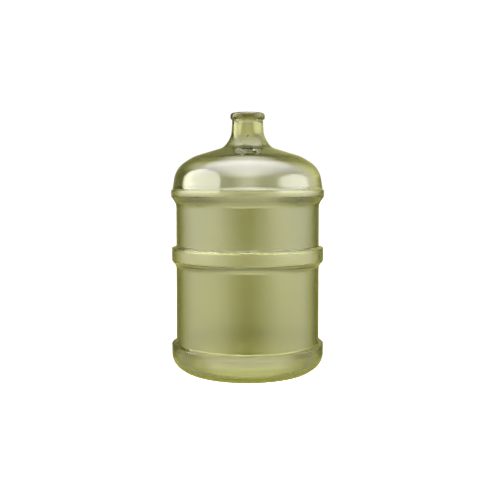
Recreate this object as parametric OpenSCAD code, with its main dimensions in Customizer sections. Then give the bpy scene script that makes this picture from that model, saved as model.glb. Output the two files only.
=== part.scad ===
// Glass carboy: a large round bottle blown in one piece, with two hoops round its
// barrel, a heavy flared foot, a domed shoulder, a short neck and a rolled lip.
// Millimetres, +Z up. The origin is the centre of the circle that the foot stands on.

/* [Barrel] */
// Outside diameter of the plain barrel between the hoops
barrel_d = 260; // [256:0.5:264]
// Thickness of the barrel's wall
wall = 5; // [4:0.1:6]
// Height from the floor to the top of the lip
total_h = 472; // [469:0.5:480]

/* [Foot] */
// Outside diameter of the foot, which is the lowest hoop
foot_d = 276; // [274:0.5:280]
// Height of the foot's upper edge
foot_h = 52.5; // [48:0.5:60]
// Inner diameter of the flat ring that the bottle stands on
ring_in_d = 174; // [160:1:178]
// Height of the push-up, the hollow under the middle of the floor
push_up = 16; // [10:0.5:22]
// Thickness of the floor at its middle
floor_t = 9; // [7:0.5:12]

/* [Middle hoop] */
// Outside diameter of the middle hoop
hoop_d = 276.5; // [272:0.5:280]
// Height of the middle hoop's lower foot on the barrel
hoop_z = 195; // [180:1:210]
// Width of the middle hoop's flat crest
hoop_crest = 22; // [18:0.5:26]

/* [Shoulder hoop] */
// Outside diameter of the shoulder hoop
shoulder_d = 279; // [276:0.5:281]
// Height of the shoulder hoop's lower foot on the barrel
shoulder_z = 308.5; // [296:0.5:310]

/* [Dome] */
// Outside diameter at the foot of the dome, just above the shoulder hoop
dome_d = 271; // [270:0.5:272]
// Height of the dome's haunch, where its side bends over into its top
haunch_z = 371.5; // [369:0.5:374]
// Height where the dome's top would meet the neck if the corner were sharp
crown_z = 409.5; // [407:0.5:412]

/* [Neck] */
// Outside diameter of the neck at its narrowest, under the lip
neck_d = 56; // [55:0.5:57]
// Diameter of the bore that takes a bung
mouth_d = 44; // [40:0.5:46]
// Outside diameter of the rolled lip
lip_d = 62.8; // [62.4:0.2:65]
// Height of the rolled lip
lip_h = 11; // [9:0.5:12]

/* [Hidden] */

$fn = 180;
arc_step = 8;                   // largest turn between two points of a round stretch, degrees
glass_green = [0.62, 0.62, 0.38, 0.75];

barrel_r = barrel_d / 2;
foot_r = foot_d / 2;
ring_in_r = ring_in_d / 2;
hoop_r = hoop_d / 2;
shoulder_r = shoulder_d / 2;
dome_r = dome_d / 2;
neck_r = neck_d / 2;
mouth_r = mouth_d / 2;
lip_r = lip_d / 2;

heel_in = 26;                   // how far the foot's underside corner lies inside the foot
heel_rise = 22;                 // height of the foot's upper heel corner
heel_round = 40;                // rounding of both heel corners
crease = 3;                     // rounding where a hoop meets the barrel
crest_round = 5;                // rounding of a hoop's crest
foot_slope = 6;                 // height of the foot's slope down onto the barrel
hoop_rise = 8;                  // height of the middle hoop's lower slope
hoop_fall = 10;                 // height of its upper slope
shoulder_rise = 11;             // height of the shoulder hoop's lower slope
shoulder_crest = 12;            // width of its crest
shoulder_step = 8;              // height of the step from its crest in to the dome
haunch_in = 4.5;                // how far the haunch lies inside the dome's foot
brow_r = 99;                    // corner between the dome's shoulder and its flatter top
brow_drop = 17;                 // how far that corner lies below the crown
crown_r = 43.5;                 // corner between the dome's top and the neck's flare
throat_r = neck_r + 1.8;        // corner between the flare and the neck
throat_rise = 19;               // height of the flare
throat_round = 41;              // rounding of the flare into the neck
lip_under = 3.4;                // rounding of the lip's underside
lip_round = 5;                  // rounding of the lip's top
mouth_edge = 2.5;               // rounding of the mouth's inner edge

barrel_z = foot_h + foot_slope;
hoop_low = hoop_z + hoop_rise;
hoop_high = hoop_low + hoop_crest;
hoop_top = hoop_high + hoop_fall;
shoulder_low = shoulder_z + shoulder_rise;
shoulder_high = shoulder_low + shoulder_crest;
dome_z = shoulder_high + shoulder_step;
brow_z = crown_z - brow_drop;
throat_z = crown_z + throat_rise;
lip_z = total_h - lip_h;

floor_side_r = 60;              // where the push-up's crown turns down to the ring
floor_side_drop = 5;            // how far it has dropped there
heel_t = wall + 2.5;            // the glass is thickest round the heel,
hoop_t = wall + 1;              // a little thicker in the hoops than in the barrel,
dome_t = wall + 0.6;            // and in the dome,
base_t = floor_t - 1;           // and thinner beside the push-up than in its middle
melt = 2;                       // how much further a hoop's hollow reaches along the wall than the hoop
hollow_round = 8;               // rounding of the hoops' hollows

// Direction from point a to point b, as a unit vector
function toward(a, b) = (b - a) / norm(b - a);

// The arc of radius r that rounds corner b on the way from a to c
function corner(a, b, c, r) =
    let (
        back = toward(b, a),
        on = toward(b, c),
        half = acos(back * on) / 2,
        middle = b + toward([0, 0], back + on) * r / sin(half),
        start = b + back * r / tan(half) - middle,
        from = atan2(start.y, start.x),
        turn = -sign(cross(back, on)) * (180 - 2 * half),
        steps = ceil(abs(turn) / arc_step) + 1
    )
    [for (i = [0:steps]) middle + r * [cos(from + turn * i / steps), sin(from + turn * i / steps)]];

function flat(p) = [p[0], p[1]];

// Outline through points [radius, height, rounding], each corner rounded by its third value
function outline(points) =
    let (last = len(points) - 1)
    [
        for (i = [0:last])
            let (p = points[i])
                each (i == 0 || i == last || p[2] == 0)
                    ? [flat(p)]
                    : corner(flat(points[i - 1]), flat(p), flat(points[i + 1]), p[2])
    ];

// Outside of the glass, from the middle of the push-up round the foot and up to the lip
outside = [
    [0, push_up, 0],
    [floor_side_r, push_up - floor_side_drop, 70],
    [ring_in_r, 0, 5],
    [foot_r - heel_in, 0, heel_round],
    [foot_r, heel_rise, heel_round],
    [foot_r, foot_h, crest_round],
    [barrel_r, barrel_z, crease],
    [barrel_r, hoop_z, crease],
    [hoop_r, hoop_low, crest_round],
    [hoop_r, hoop_high, crest_round],
    [barrel_r, hoop_top, crease],
    [barrel_r, shoulder_z, crease + 1],
    [shoulder_r, shoulder_low, crest_round],
    [shoulder_r, shoulder_high, crease],
    [dome_r, dome_z, crease],
    [dome_r - haunch_in, haunch_z, 45],
    [brow_r, brow_z, 70],
    [crown_r, crown_z, 24],
    [throat_r, throat_z, throat_round],
    [neck_r, lip_z - 1.5, 1.4],
    [lip_r, lip_z, lip_under],
    [lip_r, total_h, lip_round],
    [mouth_r, total_h, mouth_edge]
];

// Inside of the glass, from the middle of the floor up to the foot of the mouth's bore
inside = [
    [0, push_up + floor_t, 0],
    [floor_side_r, push_up + base_t - floor_side_drop, 80],
    [ring_in_r + 4, base_t, 14],
    [foot_r - heel_in + 1, base_t, 26],
    [foot_r - heel_t, heel_rise + 3.5, 26],
    [foot_r - wall, foot_h - melt, hollow_round],
    [barrel_r - wall, barrel_z + melt, hollow_round],
    [barrel_r - wall, hoop_z - melt, hollow_round],
    [hoop_r - hoop_t, hoop_low + melt / 2, hollow_round],
    [hoop_r - hoop_t, hoop_high - melt / 2, hollow_round],
    [barrel_r - wall, hoop_top + melt, hollow_round],
    [barrel_r - wall, shoulder_z - melt / 2, hollow_round],
    [shoulder_r - hoop_t, shoulder_low + melt, hollow_round],
    [shoulder_r - hoop_t, shoulder_high - melt, hollow_round - 2],
    [dome_r - dome_t, dome_z - melt / 2, hollow_round],
    [dome_r - haunch_in - dome_t, haunch_z - 3, 42],
    [brow_r - 2, brow_z - dome_t, 66],
    [crown_r - 4.5, crown_z - dome_t, 26],
    [mouth_r, throat_z - melt, throat_round - 3]
];

function reversed(points) = [for (i = [len(points) - 1:-1:0]) points[i]];

// The whole bottle is one piece of glass, so its section is one closed outline
module glass_bottle() {
    color(glass_green)
        rotate_extrude()
            polygon(outline(concat(outside, reversed(inside))));
}

glass_bottle();
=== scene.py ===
"""Looks of a glass carboy: one blown bottle of olive glass on a pale studio floor."""
import math

import bpy
import numpy as np
from bpy.props import FloatProperty, FloatVectorProperty, IntProperty, PointerProperty
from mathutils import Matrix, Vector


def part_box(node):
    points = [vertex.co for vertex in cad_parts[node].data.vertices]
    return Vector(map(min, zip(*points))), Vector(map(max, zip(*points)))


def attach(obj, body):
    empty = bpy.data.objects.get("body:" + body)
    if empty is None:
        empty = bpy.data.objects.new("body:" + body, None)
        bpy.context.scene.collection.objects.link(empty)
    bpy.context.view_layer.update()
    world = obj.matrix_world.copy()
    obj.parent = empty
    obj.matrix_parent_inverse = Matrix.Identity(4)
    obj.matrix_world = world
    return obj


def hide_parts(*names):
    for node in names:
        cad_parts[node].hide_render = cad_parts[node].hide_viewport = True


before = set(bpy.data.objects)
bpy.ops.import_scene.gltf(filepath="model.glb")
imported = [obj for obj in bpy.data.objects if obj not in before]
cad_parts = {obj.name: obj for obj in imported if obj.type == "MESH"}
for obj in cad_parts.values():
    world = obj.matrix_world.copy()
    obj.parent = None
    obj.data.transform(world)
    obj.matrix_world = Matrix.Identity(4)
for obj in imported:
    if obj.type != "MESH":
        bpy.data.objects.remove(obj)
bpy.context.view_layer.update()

bl_info = {
    "name": "Glass carboy",
    "version": (1, 0, 0),
    "blender": (4, 5, 0),
    "location": "3D View > Sidebar > Carboy",
    "description": "Builds a hooped glass carboy, its glass and a plain studio around it",
    "category": "Add Mesh",
}

CAD_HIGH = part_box("glass_bottle")[1]
MM = 0.001
BODY = "root"


# ---------------------------------------------------------------- settings

def length(name, description, default):
    """A length in metres, shown in the scene's own units."""
    return FloatProperty(name=name, description=description, default=default, unit="LENGTH", precision=4)


class CarboyShape(bpy.types.PropertyGroup):
    """Sizes of the bottle. Heights are above the floor."""

    height: length("Height", "Height of the lip's top", CAD_HIGH.z)
    shoulder_radius: length("Shoulder hoop", "Outside radius of the shoulder hoop", CAD_HIGH.x)
    barrel_radius: length("Barrel", "Outside radius of the plain barrel", 130.4 * MM)
    foot_radius: length("Foot", "Outside radius of the foot", 138 * MM)
    hoop_radius: length("Middle hoop", "Outside radius of the middle hoop", 138.25 * MM)
    dome_radius: length("Dome", "Outside radius at the foot of the dome", 135.5 * MM)
    neck_radius: length("Neck", "Outside radius of the neck under the lip", 28 * MM)
    mouth_radius: length("Mouth", "Radius of the mouth's bore", 22 * MM)
    lip_radius: length("Lip", "Outside radius of the rolled lip", 31.4 * MM)
    wall: length("Wall", "Thickness of the barrel's wall", 5 * MM)
    foot_height: length("Foot height", "Height of the foot's upper edge", 52.5 * MM)
    hoop_height: length("Middle hoop height", "Height of the middle hoop's lower foot", 195 * MM)
    shoulder_height: length("Shoulder height", "Height of the shoulder hoop's lower foot", 308.5 * MM)
    haunch_height: length("Haunch height", "Height where the dome's side bends over", 371.5 * MM)
    crown_height: length("Crown height", "Height where the dome's top meets the neck", 409.5 * MM)
    push_up: length("Push-up", "Height of the hollow under the floor", 16 * MM)
    floor: length("Floor", "Thickness of the floor at its middle", 9 * MM)
    seam: length("Mould seam", "How far the two upright mould seams stand out", 0.3 * MM)
    pip: length("Vent pip", "How far the small vent pip on the neck stands out", 2.4 * MM)
    ripple: length("Blown ripple", "How far the wall's thickness wanders", 0.12 * MM)
    columns: IntProperty(name="Columns", description="Even steps round the bottle", default=192, min=48)


class CarboyGlass(bpy.types.PropertyGroup):
    """Finish of the glass."""

    tint: FloatVectorProperty(
        name="Tint", description="What deep glass lets through", subtype="COLOR",
        size=3, min=0, max=1, default=(0.49, 0.49, 0.08))
    density: FloatProperty(
        name="Density", description="How fast the tint deepens, per metre", default=285.0, min=0)
    inside_haze: FloatProperty(
        name="Inside haze", description="Roughness of the inside, where the last brew has left its film",
        default=0.3, min=0, max=1, subtype="FACTOR")
    ior: FloatProperty(name="IOR", description="How strongly the glass bends light", default=1.5, min=1)
    neck_shine: FloatVectorProperty(
        name="Neck shine", description="Share of its reflection the neck's duller skin keeps",
        subtype="COLOR", size=3, min=0, max=1, default=(0.55, 0.55, 0.3))


class CarboyStudio(bpy.types.PropertyGroup):
    """Camera, floor and light."""

    distance: length("Distance", "From the lens to the bottle's axis, along the floor", 1.4294)
    eye_height: length("Eye height", "Height of the lens", 0.332)
    lens: FloatProperty(name="Lens", description="Focal length in millimetres", default=56.16)
    side_light: FloatProperty(
        name="Side light", description="Brightness beside the bottle", default=5.2)
    top_light: FloatProperty(
        name="Top light", description="Brightness of the overhead panel", default=13.5)
    floor_light: FloatProperty(
        name="Floor light", description="Brightness of the floor's reflection", default=4.2)
    floor_glow: FloatProperty(
        name="Floor glow", description="Light let up through the floor", default=0.25)
    pool: FloatProperty(
        name="Pool", description="Extra light let up right under the bottle", default=3.3)
    backdrop: FloatProperty(
        name="Backdrop", description="Brightness behind the bottle", default=0.88)


# ---------------------------------------------------------------- the section of the glass

# Smaller sizes of the bottle
SIDE_RADIUS = 60 * MM  # where the push-up's crown turns down to the ring that the bottle stands on
HOOP_RISE = 8 * MM  # height of the middle hoop's lower slope
HOOP_CREST = 22 * MM  # width of its crest
SHOULDER_RISE = 11 * MM  # height of the shoulder hoop's lower slope
SHOULDER_CREST = 12 * MM  # width of its crest
HAUNCH_IN = 4.5 * MM  # how far the dome's haunch lies inside the dome's foot
BROW_DROP = 17 * MM  # how far the corner between the dome's side and its top lies below the crown
LIP_HEIGHT = 11 * MM  # height of the rolled lip
MOULD_LINE_DROP = 15 * MM  # how far the ring of the neck's mould lies below the mouth
PIP_RADIUS = 2.6 * MM  # radius of the vent pip on the neck
PIP_RISE = 21 * MM  # how far the pip lies above the crown

ARC_STEP = math.radians(5)  # longest turn between two points of a rounding
LONGEST_STEP = 5 * MM  # longest step between two points of the section
GUARD = 0.2 * MM  # how far inside each end of a straight run its guard point lies
GUARDED_RUN = 1 * MM  # shortest run that gets guard points
MERGED = 0.05 * MM  # points closer than this are merged


def rounded(points):
    """Outline through rows of (radius, height, rounding): each inner corner is replaced by the arc of
    that radius which touches both of its sides. The arc's middle lies on the corner's bisector, rounding
    / sin(half the corner's angle) away from it, and its ends lie rounding / tan(half the angle) along
    the sides."""
    points = np.asarray(points, float)
    rows = [points[:1, :2]]
    for before, corner, after in zip(points[:-2], points[1:-1], points[2:]):
        back = (before - corner)[:2] / np.linalg.norm((before - corner)[:2])
        on = (after - corner)[:2] / np.linalg.norm((after - corner)[:2])
        half = math.acos(np.clip(back @ on, -1, 1)) / 2
        middle = corner[:2] + (back + on) / np.linalg.norm(back + on) * corner[2] / math.sin(half)
        start = corner[:2] + back * corner[2] / math.tan(half) - middle
        turn = -np.sign(back[0] * on[1] - back[1] * on[0]) * (math.pi - 2 * half)
        share = np.linspace(0, 1, math.ceil(abs(turn) / ARC_STEP) + 2)
        angle = math.atan2(start[1], start[0]) + turn * share
        rows.append(middle + corner[2] * np.column_stack([np.cos(angle), np.sin(angle)]))
    rows.append(points[-1:, :2])
    return np.concatenate(rows)


def crest_heights(s):
    """Lower and upper edge of the middle hoop's crest, then of the shoulder hoop's."""
    hoop_low = s.hoop_height + HOOP_RISE
    shoulder_low = s.shoulder_height + SHOULDER_RISE
    return hoop_low, hoop_low + HOOP_CREST, shoulder_low, shoulder_low + SHOULDER_CREST


def outside_points(s):
    """Corners of the outside as (radius, height, rounding), from under the floor's middle round the foot
    and up to the mouth. The small offsets make each ledge sharper or each slope softer."""
    hoop_low, hoop_high, shoulder_low, shoulder_high = crest_heights(s)
    lip = s.height - LIP_HEIGHT
    return [
        # the push-up, the ring that the bottle stands on, and the heel
        (0, s.push_up, 0),
        (SIDE_RADIUS, s.push_up - 5 * MM, 70 * MM),
        (87 * MM, 0, 5 * MM),
        (s.foot_radius - 24.5 * MM, 0, 38 * MM),
        (s.foot_radius + 0.1 * MM, 19 * MM, 29 * MM),
        # the foot's ledge and the lower barrel
        (s.foot_radius + 0.9 * MM, s.foot_height, 1.2 * MM),
        (s.barrel_radius, s.foot_height + 2 * MM, 0.8 * MM),
        (s.barrel_radius, s.hoop_height, 15 * MM),
        # the middle hoop, with a slope below and a ledge above
        (s.hoop_radius - 0.1 * MM, hoop_low, 4.5 * MM),
        (s.hoop_radius + 0.4 * MM, hoop_low + 10 * MM, 60 * MM),
        (s.hoop_radius, hoop_high + 3 * MM, 1.4 * MM),
        (s.barrel_radius, hoop_high + 4.5 * MM, 1 * MM),
        # the upper barrel and the shoulder hoop
        (s.barrel_radius, s.shoulder_height - 2.5 * MM, 22 * MM),
        (s.shoulder_radius - 0.5 * MM, shoulder_low, 5 * MM),
        (s.shoulder_radius + 0.1 * MM, shoulder_low + 6 * MM, 14 * MM),
        (s.shoulder_radius - 0.3 * MM, shoulder_high + 0.5 * MM, 0.8 * MM),
        # the dome: its foot, haunch, brow and crown
        (s.dome_radius + 1.3 * MM, shoulder_high + 1.5 * MM, 0.5 * MM),
        (s.dome_radius - HAUNCH_IN, s.haunch_height, 45 * MM),
        (99 * MM, s.crown_height - BROW_DROP, 70 * MM),
        (43.5 * MM, s.crown_height, 24 * MM),
        # the neck and the rolled lip
        (s.neck_radius + 1.8 * MM, s.crown_height + 19 * MM, 41 * MM),
        (s.neck_radius, lip - 1.5 * MM, 1.4 * MM),
        (s.lip_radius, lip, 3.4 * MM),
        (s.lip_radius, s.height, 5 * MM),
        (s.mouth_radius, s.height, 2.5 * MM),
    ]


def inside_points(s):
    """Corners of the inside as (radius, height, rounding), from the mouth's bore down to the middle of
    the floor. The wall is thinner in the hoops than in the barrel, and thicker in the dome."""
    hoop_low, hoop_high, shoulder_low, shoulder_high = crest_heights(s)
    hoop_bore = s.hoop_radius - s.wall + 1.7 * MM
    shoulder_bore = s.shoulder_radius - s.wall + 2.2 * MM
    barrel_bore = s.barrel_radius - s.wall
    foot_bore = s.foot_radius - s.wall
    neck_bore = s.mouth_radius + 2.8 * MM
    dome_wall = s.wall + 0.6 * MM
    beside = s.floor - 3 * MM
    return [
        # the mouth's bore, the neck and the inside of the dome
        (s.mouth_radius, s.height - 15 * MM, 3 * MM),
        (neck_bore, s.height - 20 * MM, 3 * MM),
        (neck_bore, s.crown_height + 14 * MM, 24 * MM),
        (38.5 * MM, s.crown_height - 6.5 * MM, 22 * MM),
        (97 * MM, s.crown_height - BROW_DROP - dome_wall, 66 * MM),
        (s.dome_radius - HAUNCH_IN - dome_wall, s.haunch_height - 3 * MM, 42 * MM),
        (s.dome_radius - dome_wall, shoulder_high + 7 * MM, 8 * MM),
        # the shoulder hoop, the barrel and the middle hoop
        (shoulder_bore, shoulder_high - 2 * MM, 6 * MM),
        (shoulder_bore, shoulder_low + 2 * MM, 5 * MM),
        (barrel_bore, s.shoulder_height + 2.5 * MM, 8 * MM),
        (barrel_bore, hoop_high + 6 * MM, 4 * MM),
        (hoop_bore, hoop_high - 1.5 * MM, 5 * MM),
        (hoop_bore, hoop_low + 1.5 * MM, 4 * MM),
        (barrel_bore, s.hoop_height + 1 * MM, 8 * MM),
        (barrel_bore, s.foot_height + 1.5 * MM, 6 * MM),
        # the foot, the heel and the floor
        (foot_bore, s.foot_height - 9.5 * MM, 6 * MM),
        (foot_bore - 2 * MM, 24.5 * MM, 24 * MM),
        (s.foot_radius - 26 * MM, beside, 28 * MM),
        (91 * MM, beside, 14 * MM),
        (SIDE_RADIUS, s.push_up + beside - 4 * MM, 80 * MM),
        (0, s.push_up + s.floor, 0),
    ]


def spaced(outline, extra):
    """The same outline with no step over LONGEST_STEP, and with extra steps near some heights of its
    outside: extra holds rows of (height, reach either way, step). Positions are taken along its own
    length. Each run longer than GUARDED_RUN also gets a guard point just inside either end, so that its
    shading stays flat up to its roundings."""
    along = np.r_[0, np.cumsum(np.linalg.norm(np.diff(outline, axis=0), axis=1))]
    counts = np.maximum(1, np.ceil(np.diff(along) / LONGEST_STEP)).astype(int)
    inner = [a + (b - a) * np.arange(n) / n for a, b, n in zip(along[:-1], along[1:], counts)]
    long = np.diff(along) > GUARDED_RUN
    marks = [along[:-1][long] + GUARD, along[1:][long] - GUARD]
    outside = len(outline) // 2
    for height, reach, pitch in extra:
        at = np.interp(height, outline[:outside, 1], along[:outside])
        marks.append(np.arange(at - reach, at + reach, pitch))
    where = np.unique(np.concatenate(inner + marks + [along[-1:]]))
    keep = np.r_[True, np.diff(where) > MERGED]
    keep[-1] = True
    where = where[keep]
    return np.column_stack([np.interp(where, along, outline[:, k]) for k in (0, 1)])


# ---------------------------------------------------------------- surfaces

def revolved(name, radius, height, angle, inner):
    """Closed surface of revolution. Row i, column j of the grid lies at
    (radius[i, j] cos angle[j], radius[i, j] sin angle[j], height[i, j]). The first and last rows are
    single points on the axis, joined to their neighbours by fans. The attribute inside is 1 from row
    inner on, and 0 before it."""
    rows, columns = radius.shape
    x = radius * np.cos(angle)
    y = radius * np.sin(angle)
    ring = np.stack([x, y, height], axis=-1)[1:-1].reshape(-1, 3)
    ends = np.array([[0, 0, height[0, 0]], [0, 0, height[-1, 0]]])
    points = np.concatenate([ring, ends])
    here = np.arange(columns)
    beyond = (here + 1) % columns
    row = np.arange(rows - 3)[:, None] * columns
    quads = np.stack([row + here, row + beyond, row + columns + beyond, row + columns + here], axis=-1)
    first, last = len(ring), len(ring) + 1
    top = (rows - 3) * columns
    fan_low = np.column_stack([np.full(columns, first), beyond, here])
    fan_high = np.column_stack([np.full(columns, last), top + here, top + beyond])
    faces = quads.reshape(-1, 4).tolist() + fan_low.tolist() + fan_high.tolist()
    mesh = bpy.data.meshes.new(name)
    mesh.from_pydata(points.tolist(), [], faces)
    mesh.polygons.foreach_set("use_smooth", np.ones(len(mesh.polygons), bool))
    within = np.concatenate([np.repeat(np.arange(rows)[1:-1] >= inner, columns), [False, True]])
    mesh.attributes.new("inside", "FLOAT", "POINT").data.foreach_set("value", within.astype(np.float32))
    mesh.update()
    piece = bpy.data.objects.new(name, mesh)
    bpy.context.scene.collection.objects.link(piece)
    return piece


def bottle_columns(count):
    """Angles round the bottle: even steps, with finer ones at the two seams and at the pip in front."""
    even = np.linspace(-math.pi, math.pi, count, endpoint=False)
    near_seam = np.radians([-0.6, -0.35, -0.2, -0.1, 0, 0.1, 0.2, 0.35, 0.6])
    near_pip = np.radians(np.arange(-5.4, 5.5, 0.6))
    front = -math.pi / 2
    closest = math.radians(0.05)
    angles = np.concatenate([even, front + near_seam, -front + near_seam, front + near_pip])
    angles = np.unique(np.round(angles, 5))
    return angles[np.r_[True, np.diff(angles) > closest]]


def bump_on(distance, reach):
    """One at the middle, falling smoothly to nothing: exp of minus (distance / reach) squared."""
    return np.exp(-((distance / reach) ** 2))


def seams(s, radius, height, aside):
    """How far the two upright seams and the ring of the neck's mould stand out. The seams are ridges on
    the plane x = 0, fainter below the crown. They fade out above the mould's ring and under the heel,
    and leave the middle of the push-up free. Each ridge has the shape of bump_on."""
    seam_low = 12 * MM
    mould_line = s.height - MOULD_LINE_DROP
    beyond = np.maximum(0, seam_low - height) + np.maximum(0, height - mould_line)
    ends = bump_on(beyond, 4 * MM)
    faint = np.where(height > s.crown_height, 1.0, 0.3)
    off_axis = radius > 25 * MM
    seam = s.seam * faint * bump_on(aside, 0.55 * MM) * ends * off_axis
    ring = 0.8 * s.seam * bump_on(height - mould_line, 0.5 * MM)
    return seam + ring


def vent_pip(s, height, angle, aside):
    """How far the vent pip stands out in front of the neck: the root of 1 minus the squared distance
    from its middle over its radius, times its height, as on half a ball."""
    in_front = np.where(np.sin(angle) < 0, aside, 1.0)
    out = np.hypot(in_front, height - s.crown_height - PIP_RISE) / PIP_RADIUS
    return s.pip * np.sqrt(np.clip(1 - out**2, 0, None))


def blown_waves(s, radius, height, angle):
    """How far the inside wanders: three slow waves, each the sine of a few turns round the bottle and of
    its height, which fade out towards the axis."""
    wave = (
        np.sin(3 * angle + 0.7) * np.sin(height / (26 * MM) + 1.1)
        + 0.7 * np.sin(5 * angle + height / (60 * MM))
        + 0.5 * np.sin(2 * angle - 1.3) * np.sin(height / (14 * MM))
    )
    return s.ripple * wave * np.clip(radius / (60 * MM), 0, 1)


def shell(s):
    """The glass as one closed surface. Its section is revolved, and moved along the wall's own normal:
    the outside by the seams, the mould's ring and the vent pip, and the inside by the blown waves."""
    outline = rounded(outside_points(s) + inside_points(s))
    mould_line = s.height - MOULD_LINE_DROP
    pip_height = s.crown_height + PIP_RISE
    section = spaced(outline, [(mould_line, 1.2 * MM, 0.3 * MM), (pip_height, PIP_RADIUS, 0.35 * MM)])
    angle = bottle_columns(s.columns)
    tangent = np.gradient(section, axis=0)
    tangent /= np.maximum(np.linalg.norm(tangent, axis=1, keepdims=True), 1e-12)
    normal = np.column_stack([tangent[:, 1], -tangent[:, 0]])
    radius, height = section[:, :1], section[:, 1:]
    row = np.arange(len(section))
    top = int(np.argmax(section[:, 1]))
    outer = (row < top)[:, None]
    slack = 0.05 * MM
    bore = section[:, 0] < s.mouth_radius + slack
    inner = int(np.argmax(bore & (row > top)))

    aside = radius * np.abs(np.cos(angle))
    raised = seams(s, radius, height, aside) + vent_pip(s, height, angle, aside)
    out = np.where(outer, raised, blown_waves(s, radius, height, angle))
    radius = radius + out * normal[:, :1]
    height = height + out * normal[:, 1:]
    return revolved("carboy_glass", radius, height, angle, inner)


# ---------------------------------------------------------------- materials

WHITE = (1, 1, 1, 1)
# Darker, browner glass colour: a dark spot at the vent pip, and painted shade on the lip.
DARK_PIP_AND_LIP_SHADE = (0.3, 0.25, 0.08, 1)


def node(tree, kind, **inputs):
    """A new node with its inputs set or linked: a socket is linked, and anything else is its value. A
    name such as i2 is the input's place in the list, counted from 0."""
    made = tree.nodes.new(kind)
    for name, value in inputs.items():
        by_place = name[0] == "i" and name[1:].isdigit()
        socket = made.inputs[int(name[1:])] if by_place else made.inputs[name]
        if isinstance(value, bpy.types.NodeSocket):
            tree.links.new(value, socket)
        else:
            socket.default_value = value
    return made


def maths(tree, operation, first, second=None, third=None):
    """The output of a Math node, which does one operation on sockets or numbers."""
    made = tree.nodes.new("ShaderNodeMath")
    made.operation = operation
    for socket, value in zip(made.inputs, (first, second, third)):
        if isinstance(value, bpy.types.NodeSocket):
            tree.links.new(value, socket)
        elif value is not None:
            socket.default_value = value
    return made.outputs[0]


def ramp(tree, value, low, high, start=0.0, end=1.0):
    """Smooth step from start to end as value goes from low to high."""
    made = tree.nodes.new("ShaderNodeMapRange")
    made.interpolation_type = "SMOOTHSTEP"
    tree.links.new(value, made.inputs["Value"])
    made.inputs["From Min"].default_value = low
    made.inputs["From Max"].default_value = high
    made.inputs["To Min"].default_value = start
    made.inputs["To Max"].default_value = end
    return made.outputs["Result"]


def times(tree, *values):
    """Product of sockets and numbers."""
    product = values[0]
    for value in values[1:]:
        product = maths(tree, "MULTIPLY", product, value)
    return product


def brightest(tree, *values):
    """Largest of several sockets."""
    most = values[0]
    for value in values[1:]:
        most = maths(tree, "MAXIMUM", most, value)
    return most


def blend(tree, share, first, second):
    """Value that goes from first to second as share goes from 0 to 1."""
    return node(tree, "ShaderNodeMix", i0=share, i2=first, i3=second).outputs[0]


def blend_colour(tree, share, first, second):
    """Colour that goes from first to second as share goes from 0 to 1."""
    made = node(tree, "ShaderNodeMix", i0=share, i6=first, i7=second)
    made.data_type = "RGBA"
    return made.outputs[2]


def uneven_group():
    """Group shared by the glass and the floor: a roughness that wanders between Low and High with a
    noise."""
    tree = bpy.data.node_groups.new("uneven", "ShaderNodeTree")
    tree.interface.new_socket("Where", in_out="INPUT", socket_type="NodeSocketVector")
    for name in ("Scale", "Low", "High"):
        tree.interface.new_socket(name, in_out="INPUT", socket_type="NodeSocketFloat")
    tree.interface.new_socket("Roughness", in_out="OUTPUT", socket_type="NodeSocketFloat")
    given = tree.nodes.new("NodeGroupInput").outputs
    noise = node(tree, "ShaderNodeTexNoise", Vector=given["Where"], Scale=given["Scale"], Detail=3.0)
    share = ramp(tree, noise.outputs[0], 0.33, 0.72)
    out = tree.nodes.new("NodeGroupOutput")
    tree.links.new(blend(tree, share, given["Low"], given["High"]), out.inputs["Roughness"])
    return tree


def uneven(tree, where, scale, low, high):
    """The roughness from one use of the shared group, which is built at its first use."""
    made = tree.nodes.new("ShaderNodeGroup")
    made.node_tree = bpy.data.node_groups.get("uneven") or uneven_group()
    tree.links.new(where, made.inputs["Where"])
    for name, value in (("Scale", scale), ("Low", low), ("High", high)):
        made.inputs[name].default_value = value
    return made.outputs["Roughness"]


def off_pip_and_lip_shade(tree, where, up, s):
    """Share of the glass left undarkened: none at the vent pip's dark spot, and under half on the lip, whose
    darkening is painted shade.
    """
    middle = (0, -s.neck_radius - 3.5 * MM, s.crown_height + 19 * MM)
    pip = node(tree, "ShaderNodeVectorMath", i0=where, i1=middle)
    pip.operation = "DISTANCE"
    off_pip = ramp(tree, pip.outputs["Value"], 1.6 * MM, 3.8 * MM)
    # Painted shade: on the lip, less than half of the glass's colour is left undarkened.
    off_lip_shade = ramp(tree, up, s.height - 16 * MM, s.height - 11 * MM, 1.0, 0.45)
    return maths(tree, "MULTIPLY", off_pip, off_lip_shade)


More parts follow.
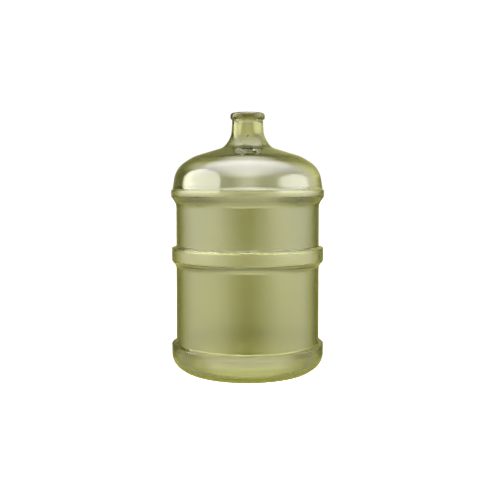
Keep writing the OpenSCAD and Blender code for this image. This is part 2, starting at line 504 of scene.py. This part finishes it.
def olive_glass(g, s):
    """Clear glass whose colour comes from its depth, with a faint blown ripple all over and haze inside.
    The neck's skin is duller than the body's, the vent pip is darker, and the lip is darkened with painted
    shade."""
    material = bpy.data.materials.new("olive_glass")
    material.use_nodes = True
    tree = material.node_tree
    tree.nodes.clear()
    where = tree.nodes.new("ShaderNodeTexCoord").outputs["Object"]
    up = node(tree, "ShaderNodeSeparateXYZ", Vector=where).outputs["Z"]
    inside = tree.nodes.new("ShaderNodeAttribute")
    inside.attribute_name = "inside"
    polish = uneven(tree, where, scale=28.0, low=0.01, high=0.035)
    rough = maths(tree, "MULTIPLY_ADD", inside.outputs["Fac"], g.inside_haze, polish)
    swell = node(tree, "ShaderNodeTexNoise", Vector=where, Scale=22.0, Detail=1.0)
    bump = node(tree, "ShaderNodeBump", Height=swell.outputs[0], Strength=0.12, Distance=1.2 * MM)
    neck = ramp(tree, up, s.crown_height - 4 * MM, s.crown_height + 6 * MM)
    shine = blend_colour(tree, neck, WHITE, (*g.neck_shine, 1))
    # Base colour darkened at the vent pip, and darkened on the lip as painted shade.
    pip_dark_and_lip_shade = blend_colour(tree, off_pip_and_lip_shade(tree, where, up, s), DARK_PIP_AND_LIP_SHADE, WHITE)
    glass = node(tree, "ShaderNodeBsdfPrincipled", Roughness=rough, Normal=bump.outputs[0], IOR=g.ior)
    glass.inputs["Metallic"].default_value = 0.0
    glass.inputs["Transmission Weight"].default_value = 1.0
    tree.links.new(shine, glass.inputs["Specular Tint"])
    tree.links.new(pip_dark_and_lip_shade, glass.inputs["Base Color"])
    depth = node(tree, "ShaderNodeVolumeAbsorption", Color=(*g.tint, 1), Density=g.density)
    out = tree.nodes.new("ShaderNodeOutputMaterial")
    tree.links.new(glass.outputs[0], out.inputs["Surface"])
    tree.links.new(depth.outputs[0], out.inputs["Volume"])
    return material


def pale_floor(st):
    """Matt pale studio floor, lit through from below like a light table, most of all right under the
    bottle. Where the camera sees it directly it glows a little more, so that it looks white."""
    material = bpy.data.materials.new("pale_floor")
    material.use_nodes = True
    tree = material.node_tree
    paint = tree.nodes["Principled BSDF"]
    where = tree.nodes.new("ShaderNodeTexCoord").outputs["Object"]
    tree.links.new(uneven(tree, where, scale=3.0, low=0.75, high=0.85), paint.inputs["Roughness"])
    paint.inputs["Base Color"].default_value = (0.5, 0.5, 0.49, 1)
    paint.inputs["Emission Color"].default_value = WHITE
    away = node(tree, "ShaderNodeVectorMath", i0=where)
    away.operation = "LENGTH"
    glow = ramp(tree, away.outputs["Value"], 110 * MM, 200 * MM, st.floor_glow + st.pool, st.floor_glow)
    seen = tree.nodes.new("ShaderNodeLightPath").outputs["Is Camera Ray"]
    extra = 0.6
    tree.links.new(maths(tree, "MULTIPLY_ADD", seen, extra, glow), paint.inputs["Emission Strength"])
    return material


# ---------------------------------------------------------------- light by direction

class Way:
    """Where a ray points, as sockets. Azimuth is 0 towards -Y, where the camera stands, and 90 towards
    +X. Aside is azimuth without its sign, and elevation is counted from the floor. All are in degrees."""

    def __init__(self, tree):
        direction = tree.nodes.new("ShaderNodeTexCoord").outputs["Generated"]
        self.x, y, self.z = node(tree, "ShaderNodeSeparateXYZ", Vector=direction).outputs
        self.ahead = maths(tree, "MULTIPLY", y, -1.0)
        self.azimuth = maths(tree, "DEGREES", maths(tree, "ARCTAN2", self.x, self.ahead))
        self.aside = maths(tree, "ABSOLUTE", self.azimuth)
        self.elevation = maths(tree, "DEGREES", maths(tree, "ARCSINE", self.z))


def side_lights(tree, way, st):
    """Low light on either hand: it grows from the camera's side round to the sides, and fades behind."""
    beside = ramp(tree, way.aside, -6, 62)
    behind = ramp(tree, way.aside, 80, 145, 1, 0)
    below = ramp(tree, way.elevation, -12, 0, 0.88, 1.0)
    return times(tree, beside, behind, st.side_light, below)


def lit_floor(tree, way, st):
    """The floor in the glass: dimmer beside, behind and right under the bottle, and brighter on the
    camera's side from the horizon's edge down to about 20 degrees."""
    beside = ramp(tree, way.aside, 40, 95, 1, 0.45)
    behind = ramp(tree, way.aside, 100, 160, 1, 0.2)
    under = ramp(tree, way.elevation, -82, -48, 0.75, 1)
    strip = times(tree, ramp(tree, way.elevation, -22, -18), ramp(tree, way.aside, 55, 90, 1, 0))
    brighter = maths(tree, "MULTIPLY_ADD", strip, 0.7, 1.0)
    return times(tree, beside, behind, st.floor_light, under, brighter)


def overhead_panel(tree, way):
    """A level panel, laid out by where a ray meets the plane one unit up: brightest along the middle, from
    right overhead towards the camera, and dimmer to the sides and far out."""
    rise = maths(tree, "MAXIMUM", way.z, 0.05)
    across = maths(tree, "ABSOLUTE", maths(tree, "DIVIDE", way.x, rise))
    onward = maths(tree, "DIVIDE", way.ahead, rise)
    middle = ramp(tree, across, 0.0, 1.4, 1, 0.42)
    back_edge = ramp(tree, onward, -0.85, 0.0)
    far_out = ramp(tree, onward, 1.0, 4.2, 1, 0.38)
    return times(tree, middle, back_edge, far_out)


def oval_light(tree, way, azimuth, elevation, wide, tall, soft_from):
    """An oval light. Reach is the root of the summed squares of the two angles from its middle, each
    over its own half-width, and the light falls from 1 to 0 as reach goes from soft_from to 1.06."""
    u = maths(tree, "DIVIDE", maths(tree, "SUBTRACT", way.azimuth, azimuth), wide)
    v = maths(tree, "DIVIDE", maths(tree, "SUBTRACT", way.elevation, elevation), tall)
    reach = maths(tree, "SQRT", maths(tree, "ADD", times(tree, u, u), times(tree, v, v)))
    return ramp(tree, reach, soft_from, 1.06, 1, 0)


def spilt_light(tree, way):
    """Dimmer light round the ovals: from the sides to behind, on the right at every height and on the
    left only higher up, and gone near the top."""
    beside = ramp(tree, way.aside, 50, 80)
    behind = ramp(tree, way.aside, 100, 165, 0.4, 0.02)
    right_or_high = brightest(tree, ramp(tree, way.azimuth, -20, 20), ramp(tree, way.elevation, 18, 46))
    top = ramp(tree, way.elevation, 45, 75, 1, 0)
    return times(tree, beside, behind, right_or_high, top)


def high_lights(tree, way, st):
    """The light above the horizon: the overhead panel, an oval light on either hand and their spill."""
    left = oval_light(tree, way, azimuth=-80, elevation=12, wide=39, tall=34, soft_from=0.92)
    left = times(tree, left, ramp(tree, way.azimuth, -127, -104))
    right = oval_light(tree, way, azimuth=78, elevation=5, wide=41, tall=30, soft_from=0.6)
    right = times(tree, right, ramp(tree, way.azimuth, 80, 130, 1, 0.4))
    most = brightest(tree, overhead_panel(tree, way), left, right, spilt_light(tree, way))
    return times(tree, most, st.top_light)


def blue_share(tree, way):
    """How much blue the mirrored light keeps: least below the horizon and, except overhead, behind."""
    by_height = maths(
        tree, "ADD", ramp(tree, way.elevation, -9, 0, 0.7, 0.88), ramp(tree, way.elevation, 20, 50, 0, 0.15))
    behind = ramp(tree, way.aside, 95, 145, 1, 0.45)
    return times(tree, by_height, blend(tree, ramp(tree, way.elevation, 45, 70), behind, 1.0))


def studio_world(st):
    """Light round the bottle. Mirrored rays see the lit floor, the side lights and the high lights, over
    a faint glow that is stronger behind. Rays that only pass through the glass see the plain backdrop,
    brighter higher up, and the floor and the camera see an even white."""
    world = bpy.data.worlds.new("studio")
    world.use_nodes = True
    tree = world.node_tree
    tree.nodes.clear()
    way = Way(tree)
    above = ramp(tree, way.elevation, 1, 10)
    mirror = blend(tree, above, side_lights(tree, way, st), high_lights(tree, way, st))
    below = ramp(tree, way.elevation, -13.8, -12.2, 1, 0)
    mirror = blend(tree, below, mirror, lit_floor(tree, way, st))
    mirror = maths(tree, "ADD", mirror, ramp(tree, way.aside, 100, 150, 0.1, 0.4))
    plain = times(tree, ramp(tree, way.elevation, 0, 55, 1.0, 2.1), st.backdrop)

    path = tree.nodes.new("ShaderNodeLightPath")
    mirrored = maths(tree, "GREATER_THAN", path.outputs["Glossy Depth"], 0.5)
    shown = blend(tree, mirrored, plain, mirror)
    for_floor = 1.1
    for_camera = 1.05
    shown = blend(tree, path.outputs["Is Diffuse Ray"], shown, for_floor)
    shown = blend(tree, path.outputs["Is Camera Ray"], shown, for_camera)
    blue = blend(tree, mirrored, 1.0, blue_share(tree, way))
    colour = node(tree, "ShaderNodeCombineColor", Red=1.0, Green=1.0, Blue=blue)
    light = node(tree, "ShaderNodeBackground", Color=colour.outputs[0], Strength=shown)
    out = tree.nodes.new("ShaderNodeOutputWorld")
    tree.links.new(light.outputs[0], out.inputs["Surface"])
    return world


# ---------------------------------------------------------------- operators

FLOOR_HALF = 30.0  # half the floor's side, so that its edge is out of sight
CAMERA_ASIDE = 4.4 * MM  # how far right of the bottle's axis the camera stands
CAMERA_TILT = math.radians(2.5692)  # how far it looks down
CAMERA_SHIFT = -0.05  # upright shift of the lens, in picture widths


class CARBOY_OT_glass(bpy.types.Operator):
    """Build the bottle's glass in place of its CAD solid"""

    bl_idname = "carboy.glass"
    bl_label = "Glass bottle"

    def execute(self, context):
        piece = shell(context.scene.carboy_shape)
        glass = olive_glass(context.scene.carboy_glass, context.scene.carboy_shape)
        piece.data.materials.append(glass)
        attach(piece, BODY)
        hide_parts("glass_bottle")
        return {"FINISHED"}


class CARBOY_OT_stage(bpy.types.Operator):
    """Lay the floor, light the studio and set the camera"""

    bl_idname = "carboy.stage"
    bl_label = "Studio"

    def execute(self, context):
        scene = context.scene
        st = scene.carboy_studio
        mesh = bpy.data.meshes.new("studio_floor")
        corners = [(x * FLOOR_HALF, y * FLOOR_HALF, 0) for x, y in ((-1, -1), (1, -1), (1, 1), (-1, 1))]
        mesh.from_pydata(corners, [], [(0, 1, 2, 3)])
        floor = bpy.data.objects.new("studio_floor", mesh)
        scene.collection.objects.link(floor)
        floor.data.materials.append(pale_floor(st))
        floor.visible_glossy = False
        scene.world = studio_world(st)

        camera = bpy.data.objects.new("camera", bpy.data.cameras.new("camera"))
        scene.collection.objects.link(camera)
        camera.data.lens = st.lens
        camera.data.shift_y = CAMERA_SHIFT
        camera.location = (CAMERA_ASIDE, -st.distance, st.eye_height)
        camera.rotation_euler = (math.pi / 2 - CAMERA_TILT, 0, 0)
        scene.camera = camera
        scene.view_settings.view_transform = "Standard"
        return {"FINISHED"}


class CARBOY_PT_panel(bpy.types.Panel):
    """Lists the carboy's operators and settings"""

    bl_label = "Glass carboy"
    bl_idname = "CARBOY_PT_panel"
    bl_space_type = "VIEW_3D"
    bl_region_type = "UI"
    bl_category = "Carboy"

    def draw(self, context):
        for operator in (CARBOY_OT_glass, CARBOY_OT_stage):
            self.layout.operator(operator.bl_idname)
        for place in GROUPS:
            group = getattr(context.scene, place)
            column = self.layout.column()
            for name in group.__annotations__:
                column.prop(group, name)


CLASSES = (CarboyShape, CarboyGlass, CarboyStudio, CARBOY_OT_glass, CARBOY_OT_stage, CARBOY_PT_panel)
GROUPS = {"carboy_shape": CarboyShape, "carboy_glass": CarboyGlass, "carboy_studio": CarboyStudio}


def register():
    for each in CLASSES:
        bpy.utils.register_class(each)
    for name, group in GROUPS.items():
        setattr(bpy.types.Scene, name, PointerProperty(type=group))


def unregister():
    for name in GROUPS:
        delattr(bpy.types.Scene, name)
    for each in reversed(CLASSES):
        bpy.utils.unregister_class(each)


def main():
    """Build the bottle and its studio."""
    register()
    bpy.ops.carboy.glass()
    bpy.ops.carboy.stage()


if __name__ == "__main__":
    main()
